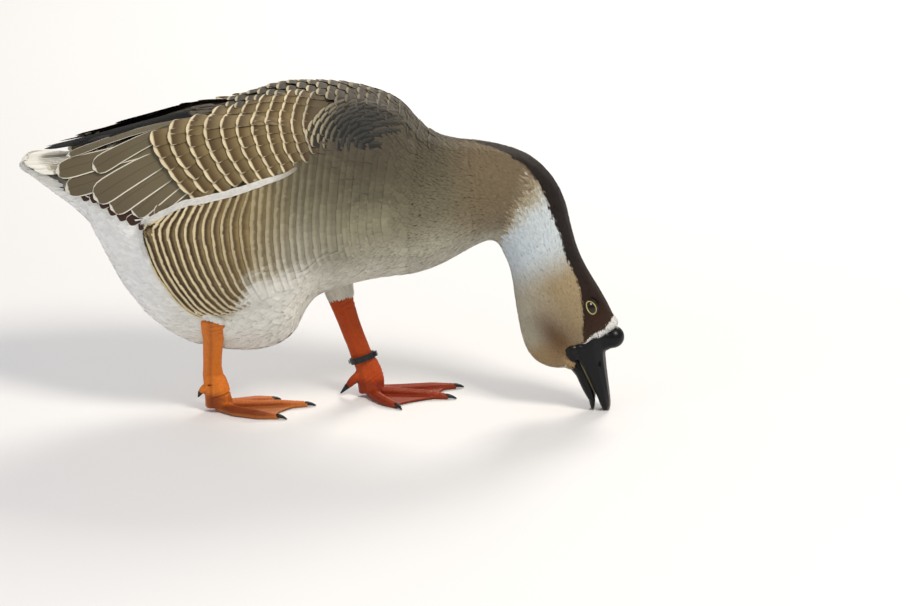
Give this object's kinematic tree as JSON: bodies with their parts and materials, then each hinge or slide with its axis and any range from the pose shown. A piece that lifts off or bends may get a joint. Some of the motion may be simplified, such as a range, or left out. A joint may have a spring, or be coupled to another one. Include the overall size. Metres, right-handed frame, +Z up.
{
  "type": "domestic goose model",
  "caption": "Life-size still model of a brown and white knobbed domestic goose, walking with its neck down to graze.",
  "frame": {"origin": "centre of the model's footprint box, on the floor that its feet stand on", "axes": "+X the way the goose faces and walks, +Y its left, +Z up"},
  "size_m": [0.6908, 0.2326, 0.3837],
  "materials": {
    "plumage_back": "layered feathers, matt",
    "plumage_breast": "fine layered feathers, matt",
    "plumage_neck": "short dense feathers, matt",
    "plumage_foreneck": "short dense feathers, matt",
    "plumage_head": "very short feathers, matt",
    "plumage_white": "soft white feathers, matt",
    "wing_coverts": "overlapping feathers with pale edges, slight sheen",
    "tertials": "broad feathers with pale edges, slight sheen",
    "primaries": "stiff black quills, satin",
    "flank": "barred feathers, matt",
    "bill": "glossy black horn",
    "eye": "wet gloss",
    "leg_skin": "scaly skin, satin",
    "claw": "dull black horn",
    "band": "moulded black plastic",
    "band_metal": "turned, satin"
  },
  "bodies": {
    "root": {"trunk": "plumage_back", "breast": "plumage_breast", "neck_lower": "plumage_neck", "neck_middle": "plumage_neck", "neck_upper": "plumage_foreneck", "head": "plumage_head", "bill_upper": "bill", "bill_lower": "bill", "bill_knob": "bill", "tail": "plumage_white", "leg_band": "band", "leg_band_stud": "band_metal", "eye_right": "eye", "wing_right": "wing_coverts", "tertials_right": "tertials", "primaries_right": "primaries", "flank_right": "flank", "thigh_right": "plumage_white", "shank_right": "leg_skin", "foot_right": "leg_skin", "claw_right_inner": "claw", "claw_right_middle": "claw", "claw_right_outer": "claw", "claw_right_hind": "claw", "eye_left": "eye", "wing_left": "wing_coverts", "tertials_left": "tertials", "primaries_left": "primaries", "flank_left": "flank", "thigh_left": "plumage_white", "shank_left": "leg_skin", "foot_left": "leg_skin", "claw_left_inner": "claw", "claw_left_middle": "claw", "claw_left_outer": "claw", "claw_left_hind": "claw"}
  },
  "joints": []
}
